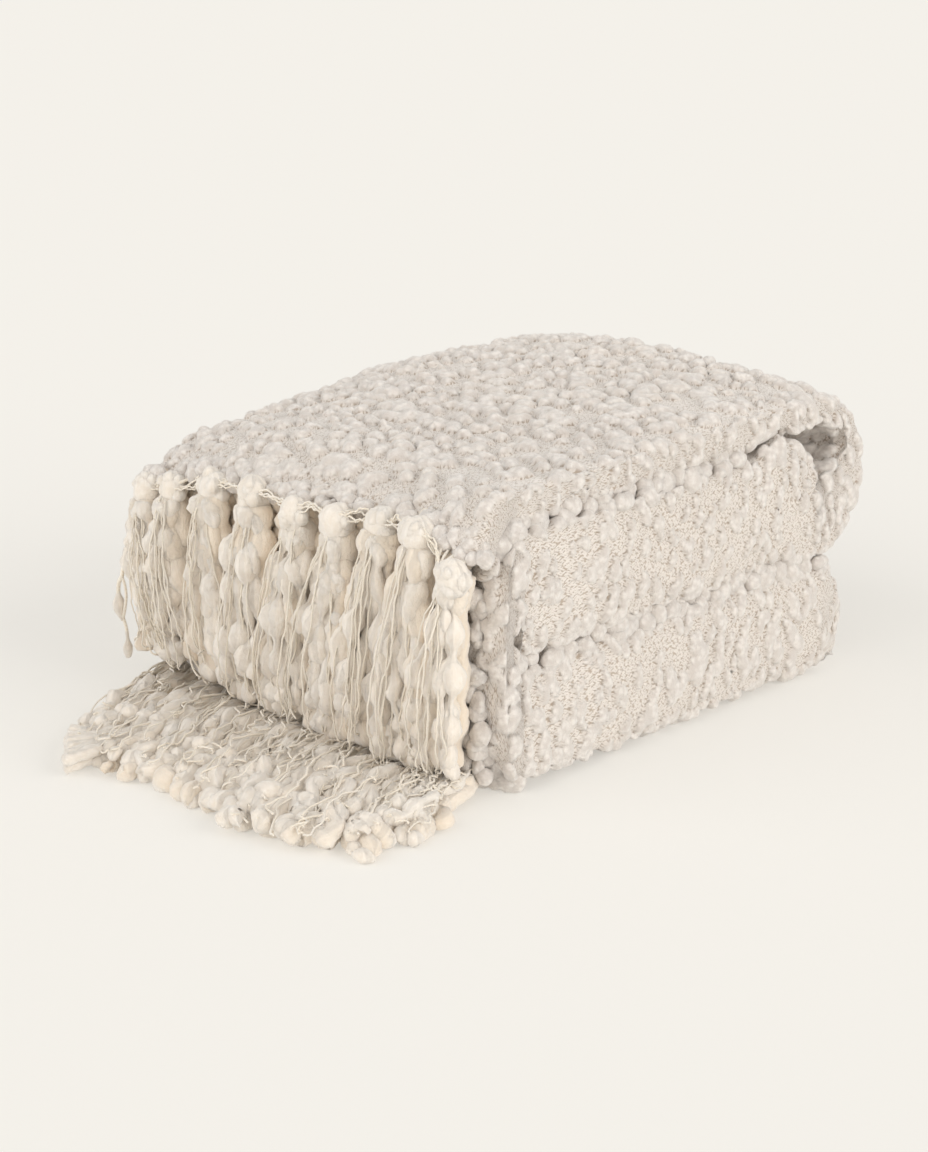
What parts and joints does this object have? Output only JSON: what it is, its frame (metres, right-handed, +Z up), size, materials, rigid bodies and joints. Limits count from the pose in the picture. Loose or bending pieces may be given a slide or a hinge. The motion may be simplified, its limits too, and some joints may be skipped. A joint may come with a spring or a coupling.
{
  "type": "folded boucle throw blanket",
  "caption": "Chunky boucle throw folded into a thick pile, tassel fringe hanging at the front and fanned on the floor.",
  "frame": {"origin": "middle of the footprint of the pile and its floor fringe, on the floor", "axes": "+Z up, +X towards the smooth folded side, -Y towards the fringed end"},
  "size_m": [0.3816, 0.5636, 0.2208],
  "materials": {
    "boucle": "matt cream boucle knit with soft puffs",
    "fringe_yarn": "matt cream slub yarn, knotted"
  },
  "bodies": {
    "root": {"blanket": "boucle", "fringe_top": "fringe_yarn", "fringe_floor": "fringe_yarn"}
  },
  "joints": []
}
